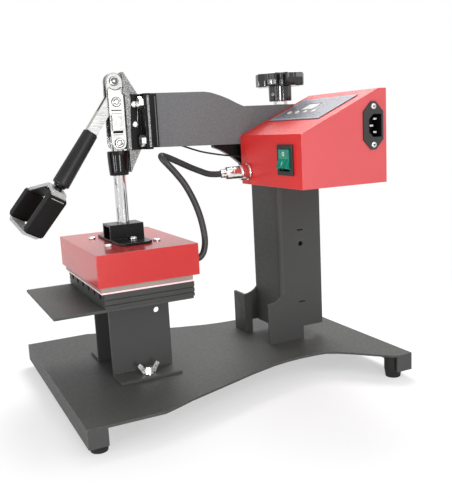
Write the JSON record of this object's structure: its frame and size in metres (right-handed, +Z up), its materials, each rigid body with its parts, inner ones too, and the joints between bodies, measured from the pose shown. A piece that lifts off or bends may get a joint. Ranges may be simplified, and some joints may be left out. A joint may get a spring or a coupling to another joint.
{
  "type": "pen heat press",
  "caption": "Swing-away heat press for pen barrels: grooved lower platen, heated upper head on a toggle lever, hanging control box and hourglass base.",
  "frame": {"origin": "centre of the bounding box of the press without its loose cables, on the surface it stands on", "axes": "+Z up, +Y to the back of the press, -Y to the operator, +X to the side that carries the control box"},
  "size_m": [0.3, 0.3998, 0.3605],
  "materials": {
    "black": "fine textured powder coat, semi-matt",
    "rubber": "matt",
    "zinc": "bright zinc plated",
    "arm": "grey hammertone enamel",
    "casting": "light grey hammertone enamel on a casting",
    "plastic": "moulded, glossy",
    "chrome": "polished",
    "red": "satin red enamel",
    "panel": "printed film",
    "board": "circuit board with a display module",
    "alu": "as cast and milled",
    "silicone": "smooth silicone sheet",
    "lever": "light grey enamel",
    "soft_black": "dipped soft vinyl, smooth",
    "rocker": "translucent green, lit from inside when on",
    "keys": "moulded"
  },
  "bodies": {
    "frame": {"base_plate": "black", "foot_fl": "rubber", "foot_fr": "rubber", "foot_rl": "rubber", "foot_rr": "rubber", "column": "black", "pivot_post": "zinc", "pedestal": "black", "shelf_plate": "black", "lower_platen": "black"},
    "swing_arm": {"arm": "arm", "arm_hub": "black", "front_bracket": "black", "hex_bolt_ul": "zinc", "hex_bolt_ur": "zinc", "hex_bolt_ll": "zinc", "hex_bolt_lr": "zinc", "ear_bolt_1": "zinc", "ear_bolt_2": "zinc", "toggle_casting": "casting", "guide_sleeve": "plastic", "top_pin": "chrome", "box_shell": "red", "box_side": "red", "panel_overlay": "panel", "control_board": "board", "switch_bezel": "plastic", "mains_inlet": "plastic", "cable_socket": "zinc", "cable_plug": "zinc", "head_cable": "rubber", "sensor_wire": "rubber"},
    "head": {"plunger_rod": "chrome", "head_bracket": "black", "plate_screw_left": "zinc", "plate_screw_right": "zinc", "head_screw_fl": "zinc", "head_screw_fr": "zinc", "head_screw_rl": "zinc", "head_screw_rr": "zinc", "head_cover": "red", "heating_plate": "alu", "silicone_pad": "silicone", "cable_gland": "rubber"},
    "lever": {"lever_fork": "lever", "lever_grip": "soft_black", "stirrup": "lever", "hand_pad_left": "soft_black", "hand_pad_right": "soft_black", "crank_pin": "chrome"},
    "links": {"link_left": "chrome", "link_right": "chrome"},
    "clamp_knob_body": {"clamp_knob": "plastic"},
    "wing_left": {"wing_screw_left": "zinc"},
    "wing_right": {"wing_screw_right": "zinc"},
    "rocker_body": {"rocker": "rocker"},
    "key_1": {"button_1": "keys"},
    "key_2": {"button_2": "keys"},
    "key_3": {"button_3": "keys"},
    "key_4": {"button_4": "keys"}
  },
  "joints": [
    {"name": "arm_swing", "type": "hinge", "parent": "frame", "child": "swing_arm", "pos_m": [0, 0.12588, 0.226], "axis": [0, 0, 1], "range_deg": [-90, 90]},
    {"name": "lever_turn", "type": "hinge", "parent": "swing_arm", "child": "lever", "pos_m": [0, -0.08462, 0.351], "axis": [-1, 0, 0], "range_deg": [0, 90]},
    {"name": "head_slide", "type": "slide", "parent": "swing_arm", "child": "head", "axis": [0, 0, 1], "range_m": [0, 0.0279], "deforming": ["head_cable"]},
    {"name": "link_turn", "type": "hinge", "parent": "lever", "child": "links", "pos_m": [0, -0.08462, 0.329], "axis": [1, 0, 0], "range_deg": [0, 120]},
    {"name": "knob_turn", "type": "hinge", "parent": "frame", "child": "clamp_knob_body", "pos_m": [0, 0.12588, 0.34], "axis": [0, 0, 1], "continuous": true},
    {"name": "wing_left_turn", "type": "hinge", "parent": "frame", "child": "wing_left", "pos_m": [-0.0505, -0.08412, 0.034], "axis": [0, 0, 1], "continuous": true},
    {"name": "wing_right_turn", "type": "hinge", "parent": "frame", "child": "wing_right", "pos_m": [0.0505, -0.08412, 0.034], "axis": [0, 0, 1], "continuous": true},
    {"name": "rocker_tip", "type": "hinge", "parent": "swing_arm", "child": "rocker_body", "pos_m": [0.1165, 0.06398, 0.2588], "axis": [1, 0, 0], "range_deg": [0, 24]},
    {"name": "key_1_press", "type": "slide", "parent": "swing_arm", "child": "key_1", "axis": [0, 0.405, -0.9143], "range_m": [0, 0.0008], "stiffness_N_per_m": 400},
    {"name": "key_2_press", "type": "slide", "parent": "swing_arm", "child": "key_2", "axis": [0, 0.405, -0.9143], "range_m": [0, 0.0008], "stiffness_N_per_m": 400},
    {"name": "key_3_press", "type": "slide", "parent": "swing_arm", "child": "key_3", "axis": [0, 0.405, -0.9143], "range_m": [0, 0.0008], "stiffness_N_per_m": 400},
    {"name": "key_4_press", "type": "slide", "parent": "swing_arm", "child": "key_4", "axis": [0, 0.405, -0.9143], "range_m": [0, 0.0008], "stiffness_N_per_m": 400}
  ],
  "couplings": [
    {"joint": "head_slide", "follows": "lever_turn", "m_per_rad": 0.01776},
    {"joint": "link_turn", "follows": "lever_turn", "ratio": 1.3333}
  ]
}
